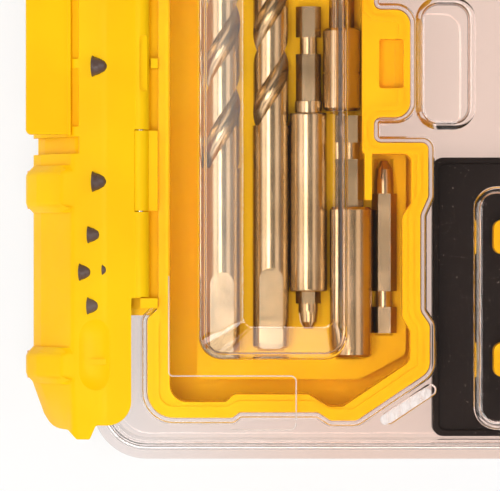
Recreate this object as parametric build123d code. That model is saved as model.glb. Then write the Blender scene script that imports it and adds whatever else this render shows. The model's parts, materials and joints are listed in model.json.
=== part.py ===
from build123d import *
import math
import os

# Bit set case, lying on its back with the clear lid up. Millimetres, +Z up.
# X runs from the latch side to the hinge side, Y along the long latch, and the origin is on the
# surface that the case lies on. Most of the case is mirrored about the plane Y = 0.

os.makedirs("parts", exist_ok=True)

# Clear shell
rim_left = 102.5            # from the origin plane to the rim's edge on the latch side
rim_right = 113.0           # the same on the hinge side
rim_half_length = 114.7
rim_corner = 16.0
rim_width = 3.1             # how far the rim stands out of the walls
rim_thickness = 2.3
base_height = 20.0          # from the table to the parting face
base_wall = 2.4
base_floor = 2.2
lid_height = 14.0           # from the parting face to the low sheet of the lid
lid_wall = 1.8
parting_gap = 0.2
plateau_rise = 4.0          # the raised part of the lid over the yellow frame
plateau_margin = 1.73       # how far the plateau stands outside the frame
frame_fit = 0.23            # gap between the frame and the plateau's wall
dome_rise = 6.0             # the dome over the long bits, above the plateau
base_edge_round = 2.5
lid_edge_round = 1.6
floor_round = 0.5           # inside corner between the tub's floor and walls
tongue_height = 1.6
tongue_width = 1.1
tongue_fit = 0.35

# Levels that follow
parting = base_height + parting_gap
sheet_top = base_height + lid_height
sheet_under = sheet_top - lid_wall
plateau_top = sheet_top + plateau_rise
plateau_under = plateau_top - lid_wall
dome_top = plateau_top + dome_rise
wall_left = rim_left - rim_width
wall_right = rim_right - rim_width
wall_half = rim_half_length - rim_width
wall_corner = rim_corner - rim_width

# Latch barrel on the lid and hinge barrel on the base share one knuckle pattern
barrel_x = 14.5 - rim_left
barrel_z = plateau_top - 1.0
barrel_radius = 2.6
latch_pin_radius = 1.0
centre_knuckle = 19.1       # half length of the middle knuckle
knuckle_gap = 0.3
fixed_knuckle_end = 42.5    # far end of the knuckles on the lid
outer_knuckle_end = 67.3    # far end of the last knuckles
pin_clearance = 0.05
hinge_x = wall_right + 7.3
hinge_z = base_height + parting_gap / 2
hinge_radius = 3.4
hinge_pin_radius = 1.5

# Yellow frame and inserts
frame_left = barrel_x + 1.9
knuckle_edge = barrel_x + 5.1     # the frame's edge beside the latch barrel
frame_end = rim_half_length - 12.4
frame_top = plateau_under - 1.0
frame_rib = 0.7
frame_bottom = parting + 3.8
frame_wall = 1.6
tray_top = frame_bottom - 0.6
tray_floor_top = base_height - 4.0
tray_wall = 1.8
bed_height = 4.0
black_level = base_height / 2
insert_fit = 0.3

# Side latch
latch_open = 5.0            # degrees from fully hooked to the rest pose
latch_wall = 2.2
latch_top = barrel_z + 2.0
latch_gap = 0.15            # between the latch and the knuckles on the lid
latch_side = rim_left + 15.3      # plain side of the latch
bumper_side = latch_side + 2.3
tab_side = latch_side + 3.0
tab_half = 20.5
latch_end = rim_half_length - 10.4
latch_bottom = base_height - 11.4
hook_fit = 0.25

# Bits
hex_flats = 6.35
hex_corner = hex_flats / 2 / math.cos(math.pi / 6)
cradle_depth = 1.5
cradle_fit = 0.2
bed_top = tray_floor_top + bed_height


def slab(x0, x1, y0, y1, z0, z1, corner=0.0):
    """A block between two corners, with its upright edges rounded."""
    width, length = x1 - x0, y1 - y0
    face = RectangleRounded(width, length, corner) if corner > 0 else Rectangle(width, length)
    return Pos((x0 + x1) / 2, (y0 + y1) / 2, z0) * extrude(face, z1 - z0)


def mirrored(points, radii):
    """Close a lower half outline with its mirror image about Y = 0."""
    upper = [(x, -y) for x, y in reversed(points)]
    return points + upper, radii + list(reversed(radii))


def grown(points, radii, amount):
    """Move each side of an anticlockwise outline outwards by one amount."""
    count = len(points)
    new_points, new_radii = [], []
    for i in range(count):
        before, here, after = points[i - 1], points[i], points[(i + 1) % count]
        ux, uy = here[0] - before[0], here[1] - before[1]
        vx, vy = after[0] - here[0], after[1] - here[1]
        ul, vl = math.hypot(ux, uy), math.hypot(vx, vy)
        ux, uy, vx, vy = ux / ul, uy / ul, vx / vl, vy / vl
        turn = ux * vy - uy * vx
        share = amount / (1 + ux * vx + uy * vy)
        new_points.append((here[0] + share * (uy + vy), here[1] - share * (ux + vx)))
        new_radii.append(max(radii[i] + (amount if turn > 0 else -amount), 0.2))
    return new_points, new_radii


def plate(points, radii, z0, z1):
    """An upright plate with a rounded outline."""
    outline = FilletPolyline(*points, radius=radii, close=True)
    return Pos(0, 0, z0) * extrude(make_face(outline), z1 - z0)


def along_y(x, z, y0, y1, face):
    """A face given in X and Z, extruded from y0 to y1."""
    plane = Plane(origin=(x, y0, z), x_dir=(1, 0, 0), z_dir=(0, 1, 0))
    return plane * extrude(face, y1 - y0)


def rod(x, z, y0, y1, radius):
    return along_y(x, z, y0, y1, Circle(radius))


def hex_rod(x, z, y0, y1, clearance=0.0):
    return along_y(x, z, y0, y1, RegularPolygon(hex_corner + clearance, 6))


def section_y(points, y0, y1):
    """A prism along Y from points given as X and Z."""
    face = make_face(Polyline(*[(x, 0, z) for x, z in points], close=True))
    prism = extrude(face, y1 - y0, dir=(0, 1, 0))
    return Pos(0, y0, 0) * prism


def both_sides(solid):
    """A solid and its mirror image about Y = 0."""
    return [solid, mirror(solid, Plane.XZ)]


def save(shape, name):
    export_step(shape, f"parts/{name}.step")


def group(solids):
    return Compound(children=list(solids))


# Outline of the yellow frame, lower half, anticlockwise from the latch side
frame_half = [
    (knuckle_edge, -outer_knuckle_end - 3.2), (frame_left, -outer_knuckle_end - 6.4),
    (frame_left, -frame_end), (-61.5, -frame_end), (-59.4, 1.6 - frame_end),
    (-36.8, 1.6 - frame_end), (-33.1, -0.8 - frame_end), (-25.7, -0.8 - frame_end),
    (-4.5, 13.5 - frame_end), (-4.5, 26.9 - frame_end), (-7.2, 30.8 - frame_end),
    (-7.2, -43.6), (-4.9, -38.4), (-4.9, -22.8), (-20.6, -22.8), (-20.6, -15.6), (-10.1, -15.6)]
frame_half_radii = [2.0, 2.0, 7.8, 1.5, 1.5, 1.5, 1.5, 3.0, 5.0, 3.0, 3.0, 3.0, 3.0, 2.0, 2.0, 2.0, 4.5]
frame_points, frame_radii = mirrored(frame_half, frame_half_radii)

# Outline of the opening in the frame, lower half
opening_half = [
    (frame_left + 6.5, 4.6 - frame_end), (-63.3, 4.6 - frame_end), (-61.0, 6.8 - frame_end),
    (-39.6, 6.8 - frame_end), (-33.6, 3.2 - frame_end), (-29.5, 3.2 - frame_end),
    (-10.1, 16.3 - frame_end), (-10.1, 25.1 - frame_end), (-12.4, 29.1 - frame_end),
    (-12.4, -44.2), (-9.8, -40.2), (-9.8, -26.0), (-24.0, -26.0)]
opening_half_radii = [5.0, 1.2, 1.2, 1.2, 2.0, 2.0, 3.0, 2.0, 2.0, 2.0, 2.0, 2.5, 1.0]
opening_points, opening_radii = mirrored(opening_half, opening_half_radii)


def frame_plate(grow, z0, z1):
    points, radii = grown(frame_points, frame_radii, grow)
    return plate(points, radii, z0, z1)


def opening_plate(grow, z0, z1):
    points, radii = grown(opening_points, opening_radii, grow)
    return plate(points, radii, z0, z1)


def shell_block(inset, z0, z1):
    """A block with the outline of the shell's walls, moved inwards by inset."""
    return slab(inset - wall_left, wall_right - inset, inset - wall_half, wall_half - inset,
                z0, z1, wall_corner - inset)


def rim_plate(z0, z1):
    return slab(-rim_left, rim_right, -rim_half_length, rim_half_length, z0, z1, rim_corner)


def round_off(solid, height, radius):
    """Round the edges of a solid that lie flat at one height."""
    edges = [e for e in solid.edges() if abs(e.bounding_box().min.Z - height) < 1e-4
             and abs(e.bounding_box().max.Z - height) < 1e-4]
    return fillet(edges, radius)


# Screws through the hinge strips, into bosses inside the walls
screw_places = (31.0, 86.0)
screw_radius = 1.5
screw_head_radius = 2.8
screw_head_height = 1.9
boss_radius = 3.4
boss_length = 5.0
strip_thickness = 3.2
base_screw_z = base_height / 2 - 0.5
lid_screw_z = parting + lid_height / 2 - 0.4


def along_x(x0, x1, y, z, radius):
    plane = Plane(origin=(x0, y, z), x_dir=(0, 1, 0), z_dir=(1, 0, 0))
    return plane * extrude(Circle(radius), x1 - x0)


def screw_rows():
    return [side * place for place in screw_places for side in (-1, 1)]


def base_tub():
    """Clear tub: walls, floor, rim flange, sealing tongue and screw bosses."""
    body = round_off(shell_block(0, 0, base_height), 0, base_edge_round)
    body += rim_plate(base_height - rim_thickness, base_height)
    tongue_inset = base_wall - tongue_width
    body += shell_block(tongue_inset, base_height - 1, base_height + tongue_height)
    hollow = shell_block(base_wall, base_floor, base_height + tongue_height + 1)
    body -= round_off(hollow, base_floor, floor_round)
    inner = wall_right - base_wall
    for y in screw_rows():
        body += along_x(inner - boss_length, inner + 0.5, y, base_screw_z, boss_radius)
        body -= along_x(inner - boss_length + 1, wall_right + 1, y, base_screw_z,
                        screw_radius + pin_clearance)
    # The hooks of the latch catch under this sloped edge of the rim
    catch = [(-rim_left + 1.3, base_height - rim_thickness),
             (-rim_left - 0.4, base_height - rim_thickness + 1.25),
             (-rim_left - 0.4, base_height - rim_thickness - 1),
             (-rim_left + 1.3, base_height - rim_thickness - 1)]
    body -= section_y(catch, -hook_far - 2, hook_far + 2)
    return body


# Domes of the lid: left, right pair and the middle box
left_dome = (barrel_x + 16.9, -28.3, frame_end - 17.0)
right_dome = (7.8, rim_right - 14.0, 9.3 - rim_half_length, -35.5)
dome_corner = 6.6
dome_edge = 2.4
slope_side, slope_far, slope_end = 12.7, 4.2, 9.3     # widths of the left dome's slopes
slope_rise = 2.6
middle_box = (-8.7, 8.7, 19.1)
panel_step = 0.25           # shallow recess of the plateau round the left dome
foot_length, foot_width, foot_height = 18.0, 3.8, 1.2


def dome(x0, x1, y0, y1, foot, top, inset):
    corner = dome_corner - inset
    block = slab(x0 + inset, x1 - inset, y0 + inset, y1 - inset, foot, top, corner)
    return round_off(block, top, max(dome_edge - inset, 0.8))


def sloped_dome(foot, top, inset):
    """Left dome: upright foot, then slopes up to a smaller flat top."""
    x0, x1, half = left_dome
    low = Pos((x0 + x1) / 2, 0, top - slope_rise) * RectangleRounded(
        x1 - x0 - 2 * inset, 2 * (half - inset), dome_corner - inset)
    flat_x0, flat_x1 = x0 + slope_side, x1 - slope_far
    high = Pos((flat_x0 + flat_x1) / 2, 0, top) * RectangleRounded(
        flat_x1 - flat_x0, 2 * (half - slope_end), 3.0)
    block = extrude(Pos(0, 0, foot - top + slope_rise) * low, top - slope_rise - foot)
    block += loft([low, high], ruled=True)
    return round_off(round_off(block, top, 1.2), top - slope_rise, 1.2 - 0.4 * (inset > 0))


def stacking_foot():
    """Low oblong bump on the sheet, beside the frame's slanting side."""
    x0, y0 = frame_half[7]
    x1, y1 = frame_half[8]
    slant = math.degrees(math.atan2(y1 - y0, x1 - x0))
    out = math.radians(slant - 90)
    x = (x0 + x1) / 2 + 2.7 * math.cos(math.radians(slant)) + 4.6 * math.cos(out)
    y = (y0 + y1) / 2 + 2.7 * math.sin(math.radians(slant)) + 4.6 * math.sin(out)
    shape = Pos(x, y, sheet_top - 1) * Rot(0, 0, slant) * extrude(
        SlotOverall(foot_length, foot_width), foot_height + 1)
    return round_off(shape, sheet_top + foot_height, 0.6)


def lid_form(inset, drop):
    """The lid's outside, or its hollow when moved in by inset and down by drop."""
    top = sheet_top - drop
    body = round_off(shell_block(inset, parting - drop, top), top, max(lid_edge_round - inset, 0.5))
    plateau = frame_plate(plateau_margin - (plateau_margin - frame_fit) * (inset > 0), top - 2,
                          plateau_top - drop)
    body += round_off(plateau, plateau_top - drop, 0.9 if inset == 0 else 0.4)
    x0, x1, half = left_dome
    if inset == 0:
        body -= slab(x0 - 9.0, x1 + 3.0, -half - 4.9, half + 4.9, plateau_top - panel_step,
                     plateau_top + 1, 1.5)
        for foot in both_sides(stacking_foot()):
            body += foot
    body += sloped_dome(plateau_top - drop - 1, dome_top - drop, inset)
    x0, x1, y0, y1 = right_dome
    for low, high in ((y0, y1), (-y1, -y0)):
        body += dome(x0, x1, low, high, top - 1, dome_top - drop, inset)
    x0, x1, half = middle_box
    body += dome(x0, x1, -half, half, top - 1, plateau_top - drop + 1.5, inset)
    return body


def lid_cover():
    """Clear cover: one sheet with a stepped skirt, a plateau and domes."""
    body = lid_form(0, 0) + rim_plate(parting, parting + rim_thickness)
    body -= lid_form(lid_wall, lid_wall)
    # Rebate for the tub's tongue
    rebate = base_wall - tongue_width - tongue_fit
    body -= shell_block(rebate, parting - 1, parting + tongue_height + 0.4)
    # Opening for the latch barrel
    body -= slab(barrel_x - 5.6, knuckle_edge, -barrel_window, barrel_window, frame_bottom, dome_top)
    # Rib that stands in the window of the frame's block and keeps the frame in place
    x1, half = block_window[1], block_window[2]
    body += slab(x1 - 2.4, x1 - 1.2, insert_fit - half, half - insert_fit,
                 frame_top - window_depth + 0.3, plateau_under + 0.5)
    inner = wall_right - lid_wall
    for y in screw_rows():
        body += along_x(inner - boss_length, inner + 0.5, y, lid_screw_z, boss_radius)
        body -= along_x(inner - boss_length + 1, wall_right + 1, y, lid_screw_z,
                        screw_radius + pin_clearance)
    return body


barrel_window = outer_knuckle_end + 3.4
block_window = (-19.1, -12.1, 7.1)
window_depth = 4.2


def knuckle_spans(fixed):
    """Spans along Y of the knuckles, on the carrying side or on the swinging side."""
    carried = [(centre_knuckle + knuckle_gap, fixed_knuckle_end),
               (-fixed_knuckle_end, -centre_knuckle - knuckle_gap)]
    swinging = [(-centre_knuckle, centre_knuckle),
                (fixed_knuckle_end + knuckle_gap, outer_knuckle_end),
                (-outer_knuckle_end, -fixed_knuckle_end - knuckle_gap)]
    return carried if fixed else swinging


def lid_frame():
    """Yellow frame: a channel round the window, ribs, block, and the latch's knuckles."""
    body = frame_plate(0, frame_bottom, frame_top) - opening_plate(0, frame_bottom - 1, frame_top + 1)
    channel = frame_plate(-frame_wall, frame_bottom - 1, frame_top - frame_wall)
    channel -= opening_plate(frame_wall, frame_bottom - 1, frame_top)
    body -= channel
    rib = frame_plate(-2.0, frame_top - 0.5, frame_top + frame_rib)
    rib -= frame_plate(-3.4, frame_top - 1, frame_top + frame_rib + 1)
    rib -= opening_plate(0.4, frame_top - 1, frame_top + frame_rib + 1)
    body += rib
    # Hinge plate under the barrel, closing the cover's opening from below
    edge = knuckle_edge
    body += slab(barrel_x - 7.0, edge + 2.0, -barrel_window - 2, barrel_window + 2,
                 sheet_under - 2.2, sheet_under - 0.1)
    # Raised floor beside the barrel, and a block at each end that keeps the pin in
    slot_floor = barrel_z - barrel_radius - 0.5
    body += slab(barrel_x - 3.0, edge - 0.1, -barrel_window + 0.1, barrel_window - 0.1,
                 sheet_under - 1, slot_floor)
    body += slab(edge - 0.5, edge + 1, -barrel_window + 0.1, barrel_window - 0.1,
                 sheet_under - 1, slot_floor)
    for end_block in both_sides(slab(barrel_x, edge - 0.1, -outer_knuckle_end - 3.2,
                                     -outer_knuckle_end - 0.4, sheet_under - 1, barrel_z + 1.2)):
        body += end_block
    for y0, y1 in knuckle_spans(True):
        body += slab(barrel_x + 0.3, edge - 0.1, y0, y1, sheet_under - 1, plateau_top - 0.1)
        body += slab(edge - 0.5, edge + 1, y0, y1, sheet_under - 1, frame_top)
        body += rod(barrel_x, barrel_z, y0, y1, barrel_radius)
        body -= rod(barrel_x, barrel_z, y0 - 1, y1 + 1, latch_pin_radius + pin_clearance)
    # Detent finger that bears on the middle knuckle
    body += slab(barrel_x + barrel_radius + 0.4, edge - 0.1, -1.45, 1.45, sheet_under + 2, barrel_z + 0.6)
    body += slab(edge - 0.5, edge + 1, -1.45, 1.45, sheet_under + 2, frame_top)
    # Thin wall beside each power bit, and the window in the block
    for wall in both_sides(slab(-23.3, -21.2, -39.3, -25.0, frame_bottom, frame_top)):
        body += wall
    x0, x1, half = block_window
    body += slab(x0 - 1.2, x1 + 1.2, -half - 1.2, half + 1.2, frame_top - window_depth - 1.2, frame_top - 0.1)
    body -= slab(x0, x1, -half, half, frame_top - window_depth, frame_top + 2, 0.8)
    # Arch over the shank of the lower nut driver
    body -= rod(lower_driver[0], lying(lower_driver[1]), -41.5, -13.0, hex_corner + 0.8)
    return body


def latch_pin():
    return rod(barrel_x, barrel_z, -outer_knuckle_end, outer_knuckle_end, latch_pin_radius)


# Side latch
hook_near = 28.0
hook_far = 60.0


crest_x = barrel_x - 10.6         # where the flat top turns into the slope
slope_x = barrel_x - 19.6         # where the slope turns into the side
slope_drop = 4.2
crest_round = 6.0
shoulder_round = 4.0
bumper_spans = ((29.3, 43.0), (82.0, 92.6))
end_start = 92.2                  # where the latch starts to taper towards its ends
end_side = latch_side - 5.6
bumper_round = 2.2


def latch_outline(side, lift):
    """Outside of the latch in X and Z: flat top, slope, shoulder and side."""
    points = [(barrel_x, latch_top), (crest_x, latch_top), (slope_x, latch_top - slope_drop),
              (1.8 - side, base_height - 0.5 + lift), (-side, base_height - 6.0 + lift),
              (-side, latch_bottom), (barrel_x, latch_bottom)]
    return points, [0.1, crest_round, shoulder_round, 3.0, 3.0, 0.5, 0.1]


def latch_hollow(side):
    """Inside of the latch, carried past its open bottom and its inner edge."""
    points, radii = latch_outline(side, 0)
    points, radii = grown(points, radii, -latch_wall)
    points[0] = (barrel_x + 5, points[0][1])
    points[-1] = (barrel_x + 5, latch_bottom - 5)
    points[-2] = (points[-2][0], latch_bottom - 5)
    return points, radii


def face_at(outline, y):
    """A face with its outline given in X and Z, standing at one place along Y."""
    points, radii = outline
    face = make_face(FilletPolyline(*points, radius=radii, close=True))
    return Pos(0, y, 0) * Rot(90, 0, 0) * face


def prism(outline, y0, y1):
    return extrude(face_at(outline, y0), y1 - y0, dir=(0, 1, 0))


def bumper_outline(side, lift):
    """Section of a bumper: crown, shoulder, side, and an edge sunk in the latch's wall."""
    inside = latch_wall - latch_side
    low = latch_bottom + 1.5
    points = [(slope_x + 2.4, latch_top - slope_drop - 0.2 + lift),
              (slope_x - 3.0, latch_top - slope_drop - 1.9 + lift),
              (2.6 - side, base_height + 3.5 + lift), (-side, base_height - 2.0 + lift), (-side, low),
              (inside, low), (inside, base_height - 6.0), (slope_x + 2.4, latch_top - slope_drop - 1.6)]
    return points, [0.2, 3.5, 4.0, 3.5, 1.0, 0.1, 0.1, 0.1]


def bumper(y0, y1):
    """Thick pad over the slope and side, with sloping ends."""
    foot, full = bumper_outline(latch_side + 0.1, 0.0), bumper_outline(bumper_side, 1.0)
    rows = [face_at(foot, y0), face_at(full, y0 + bumper_round), face_at(full, y1 - bumper_round),
            face_at(foot, y1)]
    return loft(rows, ruled=True)


def latch_shell():
    """Moulded strip: prism with tapered ends and bumpers, cut to its outline from above."""
    shell = prism(latch_outline(latch_side, 0), -end_start, end_start)
    for pair in bumper_spans:
        for part in both_sides(bumper(-pair[1], -pair[0])):
            shell += part
    taper = loft([face_at(latch_outline(end_side, 0), -latch_end - 4.5),
                  face_at(latch_outline(latch_side + 0.4, 0.5), -end_start)], ruled=True)
    for part in both_sides(taper):
        shell += part
    hollow = prism(latch_hollow(latch_side), -end_start, end_start)
    inner = loft([face_at(latch_hollow(end_side - 0.6), -latch_end - 6.5),
                  face_at(latch_hollow(latch_side), -end_start)], ruled=True)
    for part in both_sides(inner):
        hollow += part
    shell -= hollow
    half = [(-tab_side - 0.2, 12.8 - latch_end), (5.5 - latch_side, -latch_end - 1.5),
            (9.2 - latch_side, -latch_end - 1.5), (11.4 - latch_side, -latch_end - 4.1),
            (15.2 - latch_side, -latch_end - 4.1), (16.9 - latch_side, -latch_end),
            (barrel_x - barrel_radius - latch_gap, -latch_end), (barrel_x - barrel_radius - latch_gap,
                                                                  -outer_knuckle_end - 0.3),
            (barrel_x + 1.0, -outer_knuckle_end - 0.3)]
    half_radii = [2.0, 4.0, 1.0, 0.9, 0.9, 1.0, 7.0, 0.3, 0.1]
    points, radii = mirrored(half, half_radii)
    return shell & plate(points, radii, 0, dome_top)


def latch_top_at(x):
    """Height of the latch's outside on its flat top and its slope."""
    return latch_top - slope_drop * max(0.0, (crest_x - x) / (crest_x - slope_x))


# Dark marks: left end, right end and middle along Y, each a tapered stud with its wide end left
stud_places = [(-101.9, -97.4, -0.9, 3.05), (-101.8, -97.6, -34.1, 3.0), (-103.1, -99.3, -49.4, 2.5),
               (-105.5, -101.8, -60.2, 2.5), (-99.0, -97.7, -59.5, 1.7), (-103.2, -99.7, -69.9, 2.5)]


def stud(left, right, y, radius, grow=0.0):
    """Bell-shaped stud lying along X, half sunk in the latch."""
    length = right - left
    middle = latch_top_at((left + right) / 2)
    lean = math.degrees(math.atan2(slope_drop, crest_x - slope_x)) * (left < crest_x)
    shape = [(0, 0), (0, radius), (0.15, 0.86), (0.45, 0.74), (0.8, 0.5), (0.95, 0.2), (1, 0)]
    shape = [(a * length, b if b == radius or b == 0 else b * radius) for a, b in shape]
    profile = [(a + grow * (1 if a > 0 else -1), b + grow * (b > 0)) for a, b in shape]
    bell = revolve(make_face(Polyline(*profile, close=True)), Axis.X)
    bell = Pos(left, y, middle - 1.0) * Rot(0, -lean / 2, 0) * bell
    keep = slab(left - 2, right + 2, y - 5, y + 5, middle - 1.8 - grow, middle + 5)
    return bell & keep


def side_latch():
    """Long side latch: shell, finger tab, ribs, hooks and knuckles, drawn fully hooked."""
    body = latch_shell()
    # Finger tab with a raised inner edge, and the groove beside it with its middle rib
    tab_top = latch_top - 4.6
    lip_x = slope_x - 0.4
    body += slab(-tab_side, lip_x, -tab_half, tab_half, tab_top - 4.6, tab_top, 1.6)
    body += slab(lip_x - 1.0, lip_x, -tab_half - 0.3, tab_half + 0.3, tab_top - 2, tab_top + 0.7, 0.3)
    for cut in both_sides(slab(slope_x, slope_x + 1.9, -18.2, -1.3, latch_top - 5.2, latch_top + 1, 0.5)):
        body -= cut
    # Notches between the tab and the upper bumpers, each with a sunk floor
    notch_near, notch_far = tab_half + 0.6, tab_half + 5.5
    for cut in both_sides(slab(-tab_side - 2, slope_x + 2.0, -notch_far, -notch_near, 5, latch_top + 1)):
        body -= cut
    points, radii = latch_outline(latch_side - 0.2, -2.0)
    deep = prism(([(x + 1.2, z - 2.6) for x, z in points], radii), -notch_far - 0.4, -notch_near + 0.4)
    deep -= prism(([(x + 1.2, z - 2.6) for x, z in latch_hollow(latch_side - 0.2)[0]],
                   latch_hollow(latch_side - 0.2)[1]), -notch_far - 1, -notch_near + 1)
    deep &= slab(-tab_side - 2, slope_x + 3.5, -notch_far - 1, -notch_near + 1, latch_bottom, latch_top)
    for part in both_sides(deep):
        body += part
    # Scooped hollow on the slope near each end
    scoop_x = slope_x + 3.6
    scoop_round = 9.0
    scoop_z = latch_top_at(scoop_x) + scoop_round - 0.9
    scoop = rod(scoop_x, scoop_z, -89.0, -79.0, scoop_round)
    for y in (-89.0, -79.0):
        scoop += Pos(scoop_x, y, scoop_z) * Sphere(scoop_round)
    for cut in both_sides(scoop):
        body -= cut
    # Ribs behind the shell
    rib = [(crest_x + 2.5, latch_top - 1), (crest_x - 0.5, latch_top - 1.2), (slope_x + 0.4, latch_top - 5.2),
           (3.2 - latch_side, base_height - 1.4), (1.2 - latch_side, base_height - 6.0),
           (1.2 - latch_side, latch_bottom + 2.4), (5.8 - latch_side, latch_bottom + 2.4),
           (-rim_left - 2.0, parting + 2.8), (-rim_left - 2.0, sheet_top + 0.6), (crest_x + 2.5, sheet_top + 0.8)]
    for y in (30.0, 44.0, 58.0, 72.0, 86.0):
        for part in both_sides(section_y(rib, -y - 0.8, -y + 0.8)):
            body += part
    # Hook walls: the sloped top of each hook matches the sloped edge under the base's rim
    catch_radius = math.hypot(-rim_left + 1.3 - barrel_x, base_height - rim_thickness - barrel_z) + hook_fit
    tip_x = -rim_left + 1.3
    root_x = -rim_left - 1.1
    tip_z = barrel_z - math.sqrt(catch_radius ** 2 - (tip_x - barrel_x) ** 2)
    root_z = barrel_z - math.sqrt(catch_radius ** 2 - (root_x - barrel_x) ** 2)
    hook = [(tip_x, tip_z), (root_x, root_z), (root_x, latch_top - 3.6), (root_x - 2.0, latch_top - 4.4),
            (root_x - 2.0, tip_z - 4.2), (tip_x - 1.0, tip_z - 4.2), (tip_x, tip_z - 2.8)]
    for part in both_sides(section_y(hook, -hook_far, -hook_near)):
        body += part
    # Room round the knuckles on the lid, then the latch's own, with a shallow pocket in the middle one
    for y0, y1 in knuckle_spans(True):
        body -= rod(barrel_x, barrel_z, y0 - knuckle_gap, y1 + knuckle_gap, barrel_radius + latch_gap)
    for y0, y1 in knuckle_spans(False):
        body += rod(barrel_x, barrel_z, y0, y1, barrel_radius)
        body -= rod(barrel_x, barrel_z, y0 - 1, y1 + 1, latch_pin_radius + pin_clearance)
    body -= slab(barrel_x - 0.4, barrel_x + 2.0, -8.0, 8.0, barrel_z + barrel_radius - 0.7, latch_top + 3, 1.0)
    for place in stud_places:
        body -= stud(*place, grow=0.05)
    return body


def swung(shape):
    """The latch's rest pose: unhooked, so that the lid is free to open."""
    return shape.rotate(Axis((barrel_x, 0, barrel_z), (0, 1, 0)), latch_open)


# Hinge on the far side
def hinge_strip(upper):
    """Yellow strip with knuckles: the base's spine, or the bar on the lid."""
    sign = 1 if upper else -1
    near = hinge_z + sign * (rim_thickness + parting_gap / 2 + 0.15)
    far = sheet_top - lid_edge_round - 0.4 if upper else base_edge_round + 1.1
    face = wall_right + 0.05
    half = wall_half - wall_corner - 0.7
    low, high = min(near, far), max(near, far)
    body = slab(face, face + strip_thickness, -half, half, low, high)
    arm = [(face + 1, near), (face + 1, far), (face + strip_thickness, far),
           (hinge_x + hinge_radius - 0.35, hinge_z + sign * 1.1), (hinge_x, hinge_z),
           (face + strip_thickness + 0.6, near)]
    spans = knuckle_spans(upper)
    for y0, y1 in spans:
        body += section_y(arm, y0, y1)
        body += rod(hinge_x, hinge_z, y0, y1, hinge_radius)
        body -= rod(hinge_x, hinge_z, y0 - 1, y1 + 1, hinge_pin_radius + pin_clearance)
    bumper = [(face + 1, low + 1.0), (face + 1, high - 0.6), (face + strip_thickness + 0.2, high - 0.6),
              (face + strip_thickness + 2.6, high - 3.4), (face + strip_thickness + 2.6, low + 3.0),
              (face + strip_thickness + 0.2, low + 1.0)]
    for part in both_sides(section_y(bumper, -97.0, -90.0)) + both_sides(section_y(bumper, -82.0, -74.0)):
        body += part
    screw_z = lid_screw_z if upper else base_screw_z
    for y in screw_rows():
        body -= along_x(face - 1, face + 9, y, screw_z, screw_radius + pin_clearance)
        body -= along_x(face + strip_thickness - 0.2, face + 9, y, screw_z, screw_head_radius + 0.3)
    return body


def strip_screws(upper):
    """Screws that hold a hinge strip to its wall."""
    face = wall_right + 0.05
    seat = face + strip_thickness - 0.15
    screw_z = lid_screw_z if upper else base_screw_z
    wall = lid_wall if upper else base_wall
    inner = wall_right - wall - boss_length + 1.4
    screws = []
    for y in screw_rows():
        head = along_x(seat, seat + screw_head_height, y, screw_z, screw_head_radius)
        head = fillet(head.edges().sort_by(Axis.X)[-1], 0.8)
        driver = slab(seat + 0.9, seat + 3, y - 1.6, y + 1.6, screw_z - 0.35, screw_z + 0.35)
        driver += slab(seat + 0.9, seat + 3, y - 0.35, y + 0.35, screw_z - 1.6, screw_z + 1.6)
        screws.append(head - driver + along_x(inner, seat + 0.5, y, screw_z, screw_radius))
    return group(screws)


def hinge_pin():
    return rod(hinge_x, hinge_z, -outer_knuckle_end, outer_knuckle_end, hinge_pin_radius)


# Inserts of the left compartment
bed_half = [(barrel_x + 16.0, 10.7 - frame_end), (-24.3, 10.7 - frame_end), (-10.8, 18.0 - frame_end)]
bed_radii = [1.5, 2.5, 2.5]


def tool_tray():
    """Yellow insert under the window: walls, floor and legs down to the tub."""
    body = frame_plate(-insert_fit, base_floor + 0.1, tray_top)
    body -= frame_plate(-insert_fit - tray_wall, tray_floor_top, tray_top + 1)
    body -= frame_plate(-insert_fit - tray_wall, base_floor - 1, tray_floor_top - 1.8)
    for y in (-66.0, -33.0, 0.0, 33.0, 66.0):
        body += slab(-80.0, -25.0, y - 0.8, y + 0.8, base_floor + 0.1, tray_floor_top - 1)
    return body


# Long bits: centre in X, radius of the body
wide_drill = (-64.6, 5.35)
slim_drill = (-50.3, 5.35)
holder = (-39.4, 5.5)
upper_driver = (-29.7, 5.5)
lower_driver = (-27.0, 6.2)
power_bit_x = -17.3
power_bit_z = bed_top - 1.2 + hex_flats / 2


def lying(radius):
    """Height of a round body's axis when it lies in its cradle."""
    return bed_top - cradle_depth + radius


def bit_bed():
    """Raised bed with a rounded cradle under each long bit."""
    points, radii = mirrored(bed_half, bed_radii)
    body = plate(points, radii, tray_floor_top, bed_top)
    body &= frame_plate(-tray_wall - 2 * insert_fit, tray_floor_top, bed_top)
    cradles = [(wide_drill, -wide_drill_shank - 1, 60.0), (slim_drill, -slim_drill_shank - 1, 60.0),
               (holder, -66.6, -10.2), (upper_driver, -14.0, 11.4), (lower_driver, -85.7, -40.8)]
    for (x, radius), y0, y1 in cradles:
        body -= rod(x, lying(radius), y0, y1, radius + cradle_fit)
    for y0, y1 in ((-78.8, -27.2), (27.2, 78.8)):
        body -= hex_rod(power_bit_x, power_bit_z, y0, y1, cradle_fit)
    return body


wide_drill_shank = 84.0
slim_drill_shank = 82.7
shank_flat = 23.7           # length of the three milled flats, open at the shank's end


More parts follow.
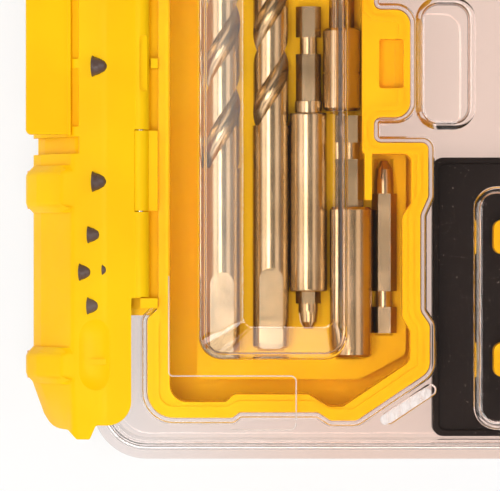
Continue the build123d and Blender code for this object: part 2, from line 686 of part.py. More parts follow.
def twist_drill(x, radius, shank_end, shoulder, tip, turns):
    """Twist drill along Y: round shank with milled flats, shoulder and helical flutes."""
    z = lying(radius)
    core = radius * 0.97
    flute_length = tip - shoulder
    land = Circle(core)
    for side in (-1, 1):
        land -= Pos(side * radius * 0.86, radius * 0.12 * side) * Circle(radius * 0.62)
    plane = Plane(origin=(x, shoulder, z), x_dir=(1, 0, 0), z_dir=(0, 1, 0))
    fluted = Solid.extrude_linear_with_rotation((plane * land).face(), plane.origin,
                                                plane.z_dir * flute_length, 360.0 * turns)
    point = radius / math.tan(math.radians(59))
    pointed = rod(x, z, shoulder - 1, tip - point, radius)
    nose = Plane(origin=(x, tip - point, z), x_dir=(1, 0, 0), z_dir=(0, 1, 0))
    pointed += nose * Pos(0, 0, point / 2) * Cone(radius, 0.05, point)
    fluted = fluted & pointed
    shank = rod(x, z, -shank_end, shoulder, radius)
    shank = chamfer(shank.edges().sort_by(Axis.Y)[0], 0.7)
    flat_half = radius * 0.64
    for k in range(3):
        flat = slab(-flat_half, flat_half, -shank_end - 5.0, shank_flat - shank_end, radius * 0.76,
                    radius + 2, flat_half - 0.01)
        flat = flat.rotate(Axis((0, 0, 0), (0, 1, 0)), 120 * k)
        shank -= Pos(x, 0, z) * flat
    return shank + fluted


def phillips_tip(x, z, y_root, y_end, root_radius):
    """Cross tip that points along Y: blunt cone with a pointed end and four V grooves."""
    sign = 1 if y_end > y_root else -1
    length = abs(y_end - y_root)
    bend, bend_radius = length * 0.6, root_radius * 0.86
    profile = [(0, 0), (root_radius, 0), (bend_radius, bend), (root_radius * 0.36, length), (0, length)]
    plane = Plane(origin=(x, y_root, z), x_dir=(1, 0, 0), z_dir=(0, sign, 0))
    face = make_face(Polyline(*[(r, 0, h) for r, h in profile], close=True))
    tip = revolve(face, Axis.Z)
    for k in range(4):
        groove = Pos(root_radius * 1.12, 0, length * 0.72) * Rot(0, -12, 0) * Rot(0, 0, 45) * Box(
            root_radius * 0.74, root_radius * 0.74, length * 1.1)
        tip -= Rot(0, 0, 70 + 90 * k) * groove
    return plane * tip


def power_shank(x, z, y0, y1, groove0, groove1):
    """Hexagonal power shank with its locking groove, ends chamfered by a cone."""
    body = hex_rod(x, z, y0, y1)
    body -= rod(x, z, groove0, groove1, hex_corner + 1) - rod(x, z, groove0, groove1, hex_flats * 0.4)
    return body


def power_bit(sign):
    """Long power bit with a cross tip towards the middle of the case."""
    x, z = power_bit_x, power_bit_z
    spans = sorted([sign * 78.0, sign * 37.4])
    groove = sorted([sign * 70.4, sign * 65.8])
    body = power_shank(x, z, spans[0], spans[1], groove[0], groove[1])
    neck = sorted([sign * 37.4, sign * 33.6])
    body += rod(x, z, neck[0], neck[1], 2.9)
    return body + phillips_tip(x, z, sign * 34.0, sign * 27.8, 2.9)


def holder_shank():
    x, z = holder[0], lying(holder[1])
    return power_shank(x, z, -48.1, 17.0, 3.2, 8.1) + rod(x, z, -13.8, -10.6, 4.0)


def holder_sleeve():
    """Sleeve of the bit holder: bore for shank and magnet, and hexagonal socket."""
    x, z = holder[0], lying(holder[1])
    body = rod(x, z, -65.9, -13.9, holder[1])
    body = fillet(body.edges().filter_by(GeomType.CIRCLE), 0.6)
    body -= rod(x, z, -51.3, -9, hex_corner + 0.08)
    return body - hex_rod(x, z, -67, -51.2, 0.1)


def holder_magnet():
    return rod(holder[0], lying(holder[1]), -51.2, -48.3, 3.0)


def holder_bit():
    """Insert bit held in the sleeve, with its waist and cross tip."""
    x, z = holder[0], lying(holder[1])
    body = hex_rod(x, z, -69.4, -51.4)
    body += rod(x, z, -71.6, -69.3, 2.9)
    return body + phillips_tip(x, z, -71.4, -76.9, 2.9)


def nut_driver(x, radius, body0, body1, shank0, shank1, groove0, groove1, mouth_high):
    """Magnetic nut driver: round body with a hexagonal socket, and a power shank."""
    z = lying(radius)
    body = rod(x, z, body0, body1, radius)
    body = chamfer(body.edges().filter_by(GeomType.CIRCLE), 0.8)
    joint = body0 + (body1 - body0) * 0.45
    body -= rod(x, z, joint, joint + 0.5, radius + 1) - rod(x, z, joint, joint + 0.5, radius - 0.3)
    mouth = (body1 - 9, body1 + 1) if mouth_high else (body0 - 1, body0 + 9)
    body -= hex_rod(x, z, mouth[0], mouth[1], 0.9)
    return body + power_shank(x, z, shank0, shank1, groove0, groove1)


# Inserts of the right compartment
black_x0, black_x1 = -2.6, rim_right - 12.4
black_y0, black_y1 = 26.6, rim_half_length - 6.1
bar_rows = (50.0, 86.0)
bar_x0, bar_x1 = 15.0, rim_right - 22.0
bar_width = 10.0
bar_height = 8.0
bits_per_bar = 6
insert_length = 25.4
socket_floor = 0.8


def black_tray(sign):
    """Black insert: flat top with a low border, and walls down to the tub's floor."""
    y0, y1 = sorted([sign * black_y0, sign * black_y1])
    body = slab(black_x0, black_x1, y0, y1, base_floor + 0.1, black_level + 1.6, 3.0)
    t = tray_wall
    body -= slab(black_x0 + t, black_x1 - t, y0 + t, y1 - t, black_level, black_level + 3, 2.0)
    body -= slab(black_x0 + t, black_x1 - t, y0 + t, y1 - t, base_floor - 1, black_level - 1.8, 2.0)
    return body


def bar_pitch():
    return (bar_x1 - bar_x0) / bits_per_bar


def bar_places():
    return [bar_x0 + bar_pitch() * (k + 0.5) for k in range(bits_per_bar)]


def upright_hex(x, y, z0, z1, clearance=0.0):
    return Pos(x, y, z0) * extrude(RegularPolygon(hex_corner + clearance, 6), z1 - z0)


def bit_bar(row):
    """Bar with a hexagonal socket for each short bit, and scalloped sides between them."""
    half = bar_width / 2
    body = slab(bar_x0, bar_x1, row - half, row + half, black_level, black_level + bar_height, 2.5)
    for x in bar_places():
        body -= upright_hex(x, row, black_level + socket_floor, black_level + bar_height + 1, 0.12)
    for k in range(1, bits_per_bar):
        for side in (-1, 1):
            x = bar_x0 + bar_pitch() * k
            body -= Pos(x, row + side * (half + 1.6), black_level - 1) * extrude(Circle(2.6), bar_height + 2)
    return body


def insert_bits():
    """Short bits standing in the bars, each a separate solid."""
    bits = []
    bottom = black_level + socket_floor + 0.1
    for row in [sign * r for r in bar_rows for sign in (-1, 1)]:
        for x in bar_places():
            bit = upright_hex(x, row, bottom, bottom + 16.5)
            bit += Pos(x, row, bottom + 16.4) * extrude(Circle(2.6), 3.1)
            tip = Pos(x, row, bottom + 19.4) * extrude(Circle(2.6), insert_length - 19.4, taper=15)
            bits.append(bit + tip)
    return group(bits)


latch = side_latch()
nodes = {
    "base_tub": base_tub(),
    "tool_tray": tool_tray(),
    "bit_bed": bit_bed(),
    "twist_drill_wide": twist_drill(wide_drill[0], wide_drill[1], wide_drill_shank, -30.0, 55.0, 1.75),
    "twist_drill_slim": twist_drill(slim_drill[0], slim_drill[1], slim_drill_shank, -17.6, 44.3, 1.35),
    "holder_shank": holder_shank(),
    "holder_sleeve": holder_sleeve(),
    "holder_magnet": holder_magnet(),
    "holder_bit": holder_bit(),
    "nut_driver_upper": nut_driver(*upper_driver, -13.3, 10.7, 10.5, 62.0, 48.0, 52.9, False),
    "nut_driver_lower": nut_driver(*lower_driver, -85.0, -41.3, -41.5, -14.7, -27.4, -22.6, False),
    "power_bit_lower": power_bit(-1),
    "power_bit_upper": power_bit(1),
    "black_tray_lower": black_tray(-1),
    "black_tray_upper": black_tray(1),
    "bit_bar_1": bit_bar(-bar_rows[1]),
    "bit_bar_2": bit_bar(-bar_rows[0]),
    "bit_bar_3": bit_bar(bar_rows[0]),
    "bit_bar_4": bit_bar(bar_rows[1]),
    "insert_bits": insert_bits(),
    "hinge_spine": hinge_strip(False),
    "spine_screws": strip_screws(False),
    "hinge_pin": hinge_pin(),
    "lid_cover": lid_cover(),
    "lid_frame": lid_frame(),
    "hinge_bar": hinge_strip(True),
    "bar_screws": strip_screws(True),
    "latch_pin": latch_pin(),
    "side_latch": swung(latch),
    "latch_studs": group([swung(stud(*place)) for place in stud_places]),
}
for name, shape in nodes.items():
    save(shape, name)
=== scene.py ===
# %% [markdown]
# A bit set case, lying on its back and seen from straight above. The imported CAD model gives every
# piece its place, so this file only dresses it: softer edges, real finishes, light and a camera.
# Everything is in metres, with +X from the latch to the hinge and +Z up through the lid.

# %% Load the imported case
import json
import math
import bmesh
import bpy
from mathutils import Matrix, Vector


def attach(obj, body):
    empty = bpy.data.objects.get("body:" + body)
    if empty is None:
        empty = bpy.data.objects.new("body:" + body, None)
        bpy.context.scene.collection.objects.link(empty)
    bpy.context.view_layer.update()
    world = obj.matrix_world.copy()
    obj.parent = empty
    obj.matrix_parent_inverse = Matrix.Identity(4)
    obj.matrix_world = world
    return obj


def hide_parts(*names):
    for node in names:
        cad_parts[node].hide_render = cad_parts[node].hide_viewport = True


MM = 0.001


def in_mm(lengths, digits=1):
    return [round(length / MM, digits) for length in lengths]


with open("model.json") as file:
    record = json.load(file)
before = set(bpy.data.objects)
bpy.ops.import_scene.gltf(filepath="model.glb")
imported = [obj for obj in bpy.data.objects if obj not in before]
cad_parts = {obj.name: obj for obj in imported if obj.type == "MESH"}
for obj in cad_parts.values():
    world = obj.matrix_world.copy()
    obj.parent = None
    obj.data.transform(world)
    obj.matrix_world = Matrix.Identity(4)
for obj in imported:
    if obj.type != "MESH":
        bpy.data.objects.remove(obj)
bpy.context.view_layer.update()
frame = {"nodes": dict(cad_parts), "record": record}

# %% [markdown]
# Colours are read off a picture as values from 0 to 255, but Blender's shaders work with linear
# light, so each one is converted once, where it is named. Every finish then starts as one
# Principled shader, because its few inputs cover plastic, metal and glass alike.


# %% Colours and finishes
def picked(red, green, blue):
    """A colour as read from a picture, for a shader."""
    def linear(v):
        v /= 255
        return v / 12.92 if v <= 0.04045 else ((v + 0.055) / 1.055) ** 2.4
    return (linear(red), linear(green), linear(blue), 1.0)


def new_finish(name, colour, roughness, metallic=0.0):
    """A material and its Principled shader, into which more can be wired."""
    finish = bpy.data.materials.new(name)
    finish.use_nodes = True
    shader = finish.node_tree.nodes["Principled BSDF"]
    shader.inputs["Base Color"].default_value = colour
    shader.inputs["Roughness"].default_value = roughness
    shader.inputs["Metallic"].default_value = metallic
    return finish, shader


# %% [markdown]
# A finish is a small graph of nodes, and so is the world. It could be drawn by hand in the shader
# editor, but many finishes repeat the same few steps, so each of those is a short function here.
# The owner that they ask for is the material or the world that the nodes belong to.


# %% Nodes
def add(owner, kind, **settings):
    node = owner.node_tree.nodes.new(kind)
    for key, value in settings.items():
        setattr(node, key, value)
    return node


def wire(owner, source, socket):
    """Link another node's output to a socket, or give the socket a constant."""
    if isinstance(source, bpy.types.NodeSocket):
        owner.node_tree.links.new(source, socket)
    else:
        socket.default_value = source


def remap(owner, value, span, result=(0.0, 1.0), blend="LINEAR"):
    """Carry a value from one range over to another, and hold it at the ends."""
    change = add(owner, "ShaderNodeMapRange", interpolation_type=blend)
    for name, number in zip(("From Min", "From Max", "To Min", "To Max"), (*span, *result)):
        change.inputs[name].default_value = number
    wire(owner, value, change.inputs["Value"])
    return change.outputs["Result"]


def tint(owner, fac, dark, light):
    """Mix two colours; each is a constant or comes out of another node."""
    mix = add(owner, "ShaderNodeMix", data_type="RGBA")
    first, second = [socket for socket in mix.inputs if socket.type == "RGBA"]
    wire(owner, fac, mix.inputs["Factor"])
    wire(owner, dark, first)
    wire(owner, light, second)
    return [socket for socket in mix.outputs if socket.type == "RGBA"][0]


# %% [markdown]
# No real surface is quite even. Pictures of real surfaces could be wrapped round the pieces, but
# noise that is worked out from a point's place on its piece has no seams, moves with the piece and
# needs no file. Its scale is given as the size of one speck in millimetres, because that is how a
# maker thinks of a grain. It drives colour, gloss and small bumps.

# %% Patterns
usual_noise = (0.25, 0.75)


def grain(finish, speck, stretch=(1, 1, 1), detail=2.0):
    """Noise on the piece's own coordinates, with specks of the given size in millimetres."""
    place = add(finish, "ShaderNodeTexCoord")
    turn = add(finish, "ShaderNodeMapping")
    turn.inputs["Scale"].default_value = stretch
    noise = add(finish, "ShaderNodeTexNoise")
    noise.inputs["Scale"].default_value = 1 / (speck * MM)
    noise.inputs["Detail"].default_value = detail
    wire(finish, place.outputs["Object"], turn.inputs["Vector"])
    wire(finish, turn.outputs["Vector"], noise.inputs["Vector"])
    return noise.outputs["Fac"]


def spread(finish, noise, low, high):
    """Noise as a value from low to high, with soft ends that leave no contour lines."""
    return remap(finish, noise, usual_noise, (low, high), blend="SMOOTHSTEP")


def emboss(finish, shader, height, depth):
    """Raise the surface by a pattern, depth in millimetres."""
    bump = add(finish, "ShaderNodeBump")
    bump.inputs["Strength"].default_value = 1.0
    bump.inputs["Distance"].default_value = depth * MM
    wire(finish, height, bump.inputs["Height"])
    wire(finish, bump.outputs["Normal"], shader.inputs["Normal"])


# %% [markdown]
# Moulded plastic looks plastic because of three small things: a slow drift in its colour, a fine
# texture left by the mould, and a gloss that isn't the same everywhere. One function gives all
# three, and each plastic of the case sets how strong they are.

# %% Moulded plastics
drift_patch, gloss_patch = 30.0, 6.0
glossier, duller = 0.05, 0.07


def moulded(name, dark, light, roughness, texture=0.004, speck=0.5, shine=0.45):
    """A plastic whose texture is so many millimetres deep, with specks so many millimetres wide."""
    finish, shader = new_finish(name, light, roughness)
    drift = spread(finish, grain(finish, drift_patch), 0, 1)
    wire(finish, tint(finish, drift, dark, light), shader.inputs["Base Color"])
    patches = grain(finish, gloss_patch, detail=5)
    gloss = spread(finish, patches, roughness - glossier, roughness + duller)
    wire(finish, gloss, shader.inputs["Roughness"])
    emboss(finish, shader, grain(finish, speck, detail=4), texture)
    shader.inputs["Specular IOR Level"].default_value = shine
    return finish


yellow = moulded("yellow_moulding", picked(253, 192, 0), picked(255, 203, 2), 0.42, shine=0.1)
bed_yellow = moulded("yellow_bed", picked(252, 198, 12), picked(255, 208, 22), 0.5, shine=0.1)
black = moulded("black_insert", picked(20, 15, 14), picked(28, 21, 19), 0.5,
                texture=0.006, shine=0.12)
stud_brown = moulded("dark_stud", picked(84, 62, 54), picked(112, 92, 84), 0.28)
print("plastics", [m.name for m in (yellow, bed_yellow, black, stud_brown)])

# %% [markdown]
# The black inserts carry a little dust and a few scuffs. Loose specks could be modelled, but they
# would be thousands of pieces too small to see, so the dust is a pattern: a fine noise is cut off
# near its top, so that only its rare peaks are left, and these lighten the plastic.

# %% Dust on the black inserts
dust_colour, dust_speck, rare_peaks = picked(190, 180, 172), 0.45, (0.74, 0.8)
black_colour = black.node_tree.nodes["Principled BSDF"].inputs["Base Color"]
clean_colour = black_colour.links[0].from_socket
dust = grain(black, dust_speck, stretch=(1, 0.6, 1), detail=1)
wire(black, tint(black, remap(black, dust, rare_peaks), clean_colour, dust_colour), black_colour)
print("dust on", black.name)

# %% [markdown]
# The clear shell is real glass to the path tracer: it bends what is seen through it, so its rounded
# edges draw themselves as thin dark and bright lines, which a plain see-through colour would lose.
# The plastic is a little warmer towards the hinge than at the latch, so its colour is blended along
# X. Its faces have long, shallow ripples from the mould, which keep reflections from being ruler
# straight, and a haze so slight that only the brightest of them look soft.

# %% Clear plastic
warm, pale = picked(250, 236, 229), picked(253, 249, 248)
warm_from, pale_from = -30 * MM, -105 * MM
haze_patch, clearest, haziest = 14.0, 0.01, 0.03
ripple, ripple_depth = 8.0, 0.05

clear, shell = new_finish("clear_shell", picked(253, 250, 249), roughness=0.02)
place = add(clear, "ShaderNodeTexCoord")
along = add(clear, "ShaderNodeSeparateXYZ")
wire(clear, place.outputs["Object"], along.inputs["Vector"])
paleness = remap(clear, along.outputs["X"], (warm_from, pale_from))
wire(clear, tint(clear, paleness, warm, pale), shell.inputs["Base Color"])
shell.inputs["Transmission Weight"].default_value = 1.0
shell.inputs["IOR"].default_value = 1.46
haze = spread(clear, grain(clear, haze_patch), clearest, haziest)
wire(clear, haze, shell.inputs["Roughness"])
emboss(clear, shell, grain(clear, ripple, stretch=(1, 0.25, 1), detail=0), ripple_depth)
print("clear", clear.name, "warm and pale at", in_mm((warm_from, pale_from)), "mm along X")

# %% [markdown]
# Such a shell would keep the lamps' light out, because a path tracer can't aim at a lamp through
# glass. A shell that is see-through for every ray would lose its bright and dark lines instead. So
# Light Path picks out the rays that only ask whether a lamp is reached, and just those pass
# straight through, with a small loss.


# %% Light through the clear plastic
def mix_shaders(finish, fac, usual, other):
    """Give a material its usual shader, and the other one where and as far as fac says so."""
    either = add(finish, "ShaderNodeMixShader")
    for socket, source in zip(either.inputs, (fac, usual, other)):
        wire(finish, source, socket)
    output = finish.node_tree.nodes["Material Output"]
    wire(finish, either.outputs["Shader"], output.inputs["Surface"])


pass_light = add(clear, "ShaderNodeBsdfTransparent")
pass_light.inputs["Color"].default_value = (0.985, 0.98, 0.975, 1)
ray = add(clear, "ShaderNodeLightPath")
mix_shaders(clear, ray.outputs["Is Shadow Ray"], shell.outputs["BSDF"], pass_light.outputs["BSDF"])
print("lamps shine through", clear.name)

# %% [markdown]
# The bits have a warm champagne coating over turned or ground steel. The coating is never quite
# even, so its colour drifts along a bit, and handling leaves cloudy patches in the gloss. A picture
# could be wrapped round each bit, but two broad noises do the same for all of them at once. The
# pins, the screws and the magnet are plain bright steel, which the same function makes.

# %% Metals
coat_patch, wear_patch = 8.0, 9.0
polished, dulled = 0.03, 0.02


def turned_metal(name, dark, light, roughness):
    finish, shader = new_finish(name, light, roughness, metallic=1.0)
    cloud = spread(finish, grain(finish, coat_patch, stretch=(1, 0.4, 1), detail=1), 0, 1)
    wire(finish, tint(finish, cloud, dark, light), shader.inputs["Base Color"])
    patches = grain(finish, wear_patch, detail=1)
    wear = spread(finish, patches, roughness - polished, roughness + dulled)
    wire(finish, wear, shader.inputs["Roughness"])
    return finish


champagne = turned_metal("champagne_metal", picked(188, 167, 128), picked(206, 187, 152), 0.25)
bright_steel = turned_metal("bright_steel", picked(180, 180, 182), picked(215, 215, 218), 0.22)
print("metals", champagne.name, bright_steel.name)

# %% [markdown]
# Each CAD piece gets the finish of its slot in the record. A finish could also be set for each
# piece by name, but a piece that is added later would then be missed.

# %% Dress the CAD pieces
finish_of = {"clear_plastic": clear, "yellow_plastic": yellow, "bed_yellow": bed_yellow,
             "black_plastic": black, "dark_studs": stud_brown, "champagne_steel": champagne,
             "bright_steel": bright_steel}
slot_of = {row["node"]: row["material_slot"] for row in frame["record"]["subparts"]}
for name, piece in frame["nodes"].items():
    piece.data.materials.clear()
    piece.data.materials.append(finish_of[slot_of[name]])
print("dressed", len(frame["nodes"]), "CAD pieces")

# %% [markdown]
# No moulded edge is perfectly sharp, so a softened copy stands in for each yellow or black
# moulding. A CAD piece comes as loose triangles, which can't be rounded, so its copy is first
# merged into clean faces. The ends of the latch's bumpers are rounder than its other edges.
# Rounding every edge by that much would tear the thin ribs, so just the outer edges that lie
# across the latch at the bumpers are bevelled in the mesh.

# %% Clean faces and rounded bumpers
same_place, flat_angle = 1e-6, math.radians(0.6)
row_reach, least_fold, round_steps = 0.05 * MM, math.radians(8), 4


def clean_copy(node):
    """A CAD piece merged into faces, none of them concave."""
    work = bmesh.new()
    work.from_mesh(frame["nodes"][node].data)
    bmesh.ops.remove_doubles(work, verts=work.verts[:], dist=same_place)
    bmesh.ops.dissolve_limit(work, angle_limit=flat_angle, verts=work.verts[:], edges=work.edges[:])
    bmesh.ops.connect_verts_concave(work, faces=[f for f in work.faces if len(f.verts) > 4])
    return work


def round_across(work, rows, offset):
    """Round the convex edges across a piece at rows along Y, mirrored in its middle, all in mm."""
    def in_a_row(edge):
        return any(all(abs(abs(v.co.y) - row * MM) < row_reach for v in edge.verts)
                   for row in rows)

    across = [edge for edge in work.edges if edge.is_convex
              and edge.calc_face_angle(0.0) > least_fold and in_a_row(edge)]
    before = len(work.faces)
    bmesh.ops.bevel(work, geom=across, offset=offset * MM, offset_type="OFFSET",
                    segments=round_steps, profile=0.5, affect="EDGES", clamp_overlap=False,
                    loop_slide=True, material=-1)
    print("rounded", len(across), "edges with", len(work.faces) - before, "new faces")


# %% [markdown]
# All other edges of a moulding get a fine rounding, so that each catches a thin line of light. A
# Bevel modifier does that in one step and leaves the mesh under it plain. Its angle limit keeps it
# off the gentle folds between the faces of a curve. The normals that the CAD piece brought along
# don't fit the merged faces any more, so they are dropped.

# %% Soften the moulded edges
body_of_node = {n: body for body, names in frame["record"]["behaviour"]["bodies"].items()
                for n in names}
fine_round, latch_round, fine_angle = 0.3, 0.35, math.radians(32)
bumper_round, bumper_rows = 1.0, (31.5, 40.8, 84.2, 90.4)


def in_scene(name, data):
    """An object for a mesh, a camera or a lamp."""
    thing = bpy.data.objects.new(name, data)
    bpy.context.scene.collection.objects.link(thing)
    return thing


def from_work(name, work, finish):
    """An object from a finished bmesh; it stays at the origin, with its place in its mesh."""
    mesh = bpy.data.meshes.new(name)
    work.to_mesh(mesh)
    work.free()
    mesh.materials.append(finish)
    return in_scene(name, mesh)


def softened(node, width, work):
    """Let a clean copy with its edges rounded by width, in millimetres, stand in for a piece."""
    for face in work.faces:
        face.smooth = True
    piece = from_work(node + "_soft", work, finish_of[slot_of[node]])
    if "custom_normal" in piece.data.attributes:
        piece.data.attributes.remove(piece.data.attributes["custom_normal"])
    edge = piece.modifiers.new("edge", "BEVEL")
    edge.width = width * MM
    edge.segments = 2
    edge.limit_method = "ANGLE"
    edge.angle_limit = fine_angle
    edge.harden_normals = True
    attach(piece, body_of_node[node])
    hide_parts(node)


plain_mouldings = ["lid_frame", "tool_tray", "bit_bed", "hinge_spine", "hinge_bar",
                   "black_tray_lower", "black_tray_upper",
                   "bit_bar_1", "bit_bar_2", "bit_bar_3", "bit_bar_4"]
for node in plain_mouldings:
    softened(node, fine_round, clean_copy(node))
latch_copy = clean_copy("side_latch")
round_across(latch_copy, bumper_rows, bumper_round)
softened("side_latch", latch_round, latch_copy)
print("softened", len(plain_mouldings) + 1, "mouldings")

# %% [markdown]
# Two small things on the cover are pale rather than clear: a fine raised line that runs round
# its shallow panel, and the tops of the stacking feet, which other cases rub against. The line is
# real, but its pale colour is a painted highlight for the light that its edge catches, while the
# feet are pale from scuffs. Rough glass would be the closest to them, but it turns dark where it
# touches the clear cover. So both get a finish that scatters light and lets a part of it straight
# through.

# %% Painted highlight line and scuffed feet
line_cover, least_scuff, most_scuff = 0.5, 0.12, 0.75
# The raised line's pale, half see-through colour is a painted highlight along its edge.
highlight_line, line_highlight_shader = new_finish("painted_highlight_line", picked(255, 240, 230), 0.35)
line_highlight_shader.inputs["Alpha"].default_value = line_cover
scuffed, scuff_shader = new_finish("scuffed_foot", picked(252, 244, 240), 0.45)
scratches = grain(scuffed, speck=1.6, stretch=(1, 0.35, 1), detail=4)
wire(scuffed, spread(scuffed, scratches, least_scuff, most_scuff), scuff_shader.inputs["Alpha"])
print("highlight_line", highlight_line.name, scuffed.name)

# %% [markdown]
# The line is as thin as a thread. A curve with a round section could draw it, but a small circle
# that is extruded along each straight run and spun round each bend makes a clean closed mesh at
# once. A second line, mirrored, lies at the other end of the case.

# %% Raised line on the cover
line_radius, line_sides, bend_steps = 0.2, 10, 8


def corners(geometry):
    return [part for part in geometry if isinstance(part, bmesh.types.BMVert)]


def on_the_lid(name, work, finish):
    """Make a finished shape a piece of the lid, with its faces pointing outwards."""
    bmesh.ops.recalc_face_normals(work, faces=work.faces[:])
    piece = from_work(name, work, finish)
    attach(piece, "lid")
    return piece


def swept_line(start, heading, moves):
    """A round line from start; a move is a length in mm, or a bend as (degrees, radius in mm)."""
    work = bmesh.new()
    end = bmesh.ops.create_circle(work, segments=line_sides, radius=line_radius * MM)["verts"]
    for degrees, axis in ((90, "Y"), (heading, "Z")):
        turned = Matrix.Rotation(math.radians(degrees), 3, axis)
        bmesh.ops.rotate(work, verts=end, matrix=turned)
    at = Vector(start)
    way = Vector((math.cos(math.radians(heading)), math.sin(math.radians(heading)), 0))
    bmesh.ops.translate(work, verts=end, vec=at * MM)
    rim = work.edges[:]
    for move in moves:
        if isinstance(move, tuple):
            turn, bend = math.radians(move[0]), move[1]
            centre = at + Vector((-way.y, way.x, 0)) * math.copysign(bend, turn)
            last = bmesh.ops.spin(work, geom=rim + end, cent=centre * MM, axis=(0, 0, 1),
                                  dvec=(0, 0, 0), angle=turn, steps=bend_steps)["geom_last"]
            turned = Matrix.Rotation(turn, 3, "Z")
            at, way = centre + turned @ (at - centre), turned @ way
        else:
            last = bmesh.ops.extrude_edge_only(work, edges=rim)["geom"]
            bmesh.ops.translate(work, verts=corners(last), vec=way * move * MM)
            at = at + way * move
        end = corners(last)
        rim = [part for part in last if isinstance(part, bmesh.types.BMEdge)
               and all(corner in end for corner in part.verts)]
    bmesh.ops.holes_fill(work, edges=work.edges[:], sides=line_sides)
    for face in work.faces:
        face.smooth = True
    return work


# %% [markdown]
# Each run is a start in millimetres, a heading in degrees and its moves. The first lies on the high
# flat of the cover, round the panel, and the second on the low flat at the end of the case.

# %% Runs of the raised line
down = -90
runs = (((-79.8, -61.3, 37.92), down, (27.6, (90, 1.2), 33.9, (-90, 1.6), 11.3)),
        ((-43.1, -103.9, 34.05), down, (0.1, (-90, 1.8), 17.0)))
for number, run in enumerate(runs, start=1):
    for side in ("near", "far"):
        work = swept_line(*run)
        if side == "far":
            bmesh.ops.scale(work, verts=work.verts[:], vec=(1, -1, 1))
        line = on_the_lid(f"panel_line_{side}_{number}", work, highlight_line)
        print(line.name, len(line.data.polygons), "faces,", in_mm(line.dimensions), "mm")

# %% [markdown]
# A foot's scuffed top could be painted on the cover, but the scuffs would then need a mask of the
# foot's shape. It is a very thin pad with round ends instead: a grid of one face, with its corners
# bevelled into half circles, given a little thickness and turned to lie along the foot.

# %% Scuffed tops of the stacking feet
foot_x, foot_y, foot_top, foot_slant = -11.4, 99.0, 35.22, 32.6
pad_length, pad_width, pad_round, pad_steps, pad_height = 17.0, 2.9, 1.4, 6, 0.04
for side, name in ((-1, "foot_scuff_near"), (1, "foot_scuff_far")):
    work = bmesh.new()
    bmesh.ops.create_grid(work, x_segments=1, y_segments=1, size=0.5 * MM)
    bmesh.ops.scale(work, verts=work.verts[:], vec=(pad_length, pad_width, 1))
    bmesh.ops.bevel(work, geom=work.verts[:], offset=pad_round * MM, offset_type="OFFSET",
                    segments=pad_steps, profile=0.5, affect="VERTICES", material=-1)
    upper = bmesh.ops.extrude_face_region(work, geom=work.faces[:])["geom"]
    bmesh.ops.translate(work, verts=corners(upper), vec=(0, 0, pad_height * MM))
    slant = Matrix.Rotation(math.radians(-side * foot_slant), 3, "Z")
    bmesh.ops.rotate(work, verts=work.verts[:], matrix=slant)
    bmesh.ops.translate(work, verts=work.verts[:],
                        vec=(foot_x * MM, side * foot_y * MM, foot_top * MM))
    pad = on_the_lid(name, work, scuffed)
    print(pad.name, in_mm(pad.dimensions, digits=2), "mm")

# %% [markdown]
# The camera looks straight down through a long lens, as a catalogue picture does, so upright walls
# hardly show. An orthographic camera would hide them altogether. The picture's frame is 500 by 491
# pixels and shows the latch end of the case.

# %% Camera
frame_middle = Vector((-56.4 * MM, -52.5 * MM, 34 * MM))
frame_width = 144.5 * MM
lens = bpy.data.cameras.new("camera")
lens.lens = 300
lens.sensor_width = 36
lens.sensor_fit = "HORIZONTAL"
lens.clip_start, lens.clip_end = 0.01, 20
distance = frame_width * lens.lens / lens.sensor_width
camera = in_scene("camera", lens)
camera.location = frame_middle + Vector((0, 0, distance))
bpy.context.scene.camera = camera
print("camera", round(distance, 3), "m above the lid")

# %% [markdown]
# The case lies on a plain pale sheet that keeps its shadow. Enough light to make the sheet white
# would bleach the case as well. So Light Path makes it nearly white only for the lens and for what
# glass and metal show of it, and the light that it throws back on the case stays as it is.


# %% Floor
def maths(owner, operation, first, second):
    """What a Math node works out from two values, each a number or another node's output."""
    node = add(owner, "ShaderNodeMath", operation=operation)
    wire(owner, first, node.inputs[0])
    wire(owner, second, node.inputs[1])
    return node.outputs[0]


paper_patch, paper_drop, half_paper, glow_share = 60.0, 0.2, 4.0, 0.75
paper, paper_shader = new_finish("pale_paper", picked(250, 249, 248), 0.8)
drift = spread(paper, grain(paper, paper_patch), 0, 1)
wire(paper, tint(paper, drift, picked(249, 248, 247), picked(252, 251, 250)),
     paper_shader.inputs["Base Color"])
glow = add(paper, "ShaderNodeEmission")
glow.inputs["Color"].default_value = (1, 0.995, 0.99, 1)
seen = add(paper, "ShaderNodeLightPath")
shown = seen.outputs["Is Camera Ray"]
for kind in ("Is Glossy Ray", "Is Transmission Ray"):
    shown = maths(paper, "MAXIMUM", shown, seen.outputs[kind])
mix_shaders(paper, maths(paper, "MULTIPLY", shown, glow_share),
            paper_shader.outputs["BSDF"], glow.outputs["Emission"])

sheet = bmesh.new()
bmesh.ops.create_grid(sheet, x_segments=1, y_segments=1, size=half_paper)
bmesh.ops.translate(sheet, verts=sheet.verts[:], vec=(0, 0, -paper_drop * MM))
floor = from_work("floor", sheet, paper)
print("floor", in_mm(floor.dimensions), "mm")

# %% [markdown]
# The world lights the case softly from all round. It is darker overhead than at the horizon,
# because the flat lid would mirror a bright sky into the lens as a grey veil. From the side, the
# lens sees it as a pale backdrop at every height. Glass shows the backdrop only near the horizon,
# where the clear walls need it, because from higher up it would brighten the inside of the case. A
# height here is how far up a direction points, from 0 at the horizon to 1 straight overhead.

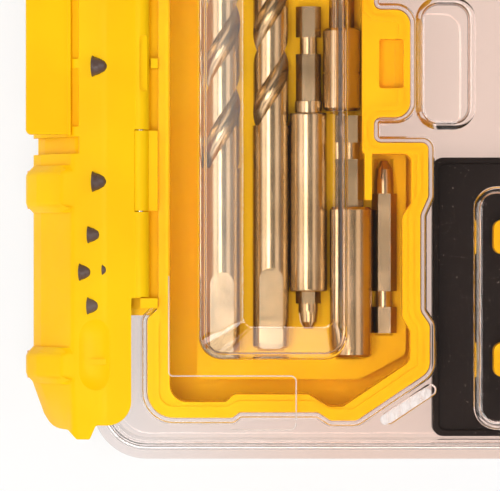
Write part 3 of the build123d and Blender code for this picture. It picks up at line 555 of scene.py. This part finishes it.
# %% World
backdrop, horizon_light, overhead_light = 0.93, 0.45, 0.1
low_sky, glass_sky, high_sky = 0.2, 0.3, 0.97
world = bpy.data.worlds.new("studio")
bpy.context.scene.world = world
world.use_nodes = True
sky = world.node_tree.nodes["Background"]
sky.inputs["Color"].default_value = (1, 0.99, 0.98, 1)
direction = add(world, "ShaderNodeTexCoord")
part_of = add(world, "ShaderNodeSeparateXYZ")
wire(world, direction.outputs["Generated"], part_of.inputs["Vector"])
height = part_of.outputs["Z"]
light = remap(world, height, (low_sky, high_sky), (horizon_light, overhead_light), "SMOOTHSTEP")
low_backdrop = remap(world, height, (low_sky, glass_sky), (backdrop, 0.0))
sky_ray = add(world, "ShaderNodeLightPath")
seen_sky = maths(world, "MULTIPLY", sky_ray.outputs["Is Camera Ray"], backdrop)
in_glass = maths(world, "MULTIPLY", sky_ray.outputs["Is Transmission Ray"], low_backdrop)
brightest = maths(world, "MAXIMUM", maths(world, "MAXIMUM", seen_sky, in_glass), light)
wire(world, brightest, sky.inputs["Strength"])
print("world", horizon_light, "to", overhead_light, "and a backdrop of", backdrop)

# %% [markdown]
# No lamp stands straight over the case either, where the lid would mirror it. Three large lamps at
# the sides light the moulding. Two strips just outside what the flat lid mirrors draw a bright line
# on the rounded edges of the dome and along the bits, and two weak ones put a veil on its slopes.


# %% Lamps
def soft_lamp(name, place, aim, level, upright, watts):
    """A flat lamp; its first size lies level, and its second stands up or tilts over the case."""
    lamp = bpy.data.lights.new(name, "AREA")
    lamp.shape = "RECTANGLE"
    lamp.size, lamp.size_y = level, upright
    lamp.energy = watts
    stand = in_scene(name, lamp)
    stand.location = place
    stand.rotation_mode = "QUATERNION"
    stand.rotation_quaternion = (Vector(place) - Vector(aim)).to_track_quat("Z", "Y")


case_middle, dome_middle = (0, 0, 0), (-0.05, -0.05, 0)
lamps = (("key", (0.8, 0.1, 1.1), case_middle, 1.4, 0.6, 3.8),
         ("left_fill", (-0.78, -0.1, 0.75), case_middle, 1.2, 0.5, 3.8),
         ("front_fill", (-0.1, -0.85, 0.75), case_middle, 0.9, 0.5, 1.4),
         ("left_strip", (-0.365, -0.05, 1.2), dome_middle, 0.5, 0.28, 3.2),
         ("front_strip", (-0.05, -0.37, 1.2), dome_middle, 0.5, 0.26, 2.6),
         ("left_veil", (-0.59, -0.05, 1.2), dome_middle, 0.5, 0.1, 0.5),
         ("front_veil", (-0.05, -0.815, 1.2), dome_middle, 0.5, 0.14, 0.6))
for lamp in lamps:
    soft_lamp(*lamp)
print("lamps", [lamp[0] for lamp in lamps])

# %% [markdown]
# Blender's usual view softens bright, strong colours, as film does, and would turn the yellow pale.
# The standard view shows a colour as it was picked.

# %% View
bpy.context.scene.view_settings.view_transform = "Standard"
print("view", bpy.context.scene.view_settings.view_transform)
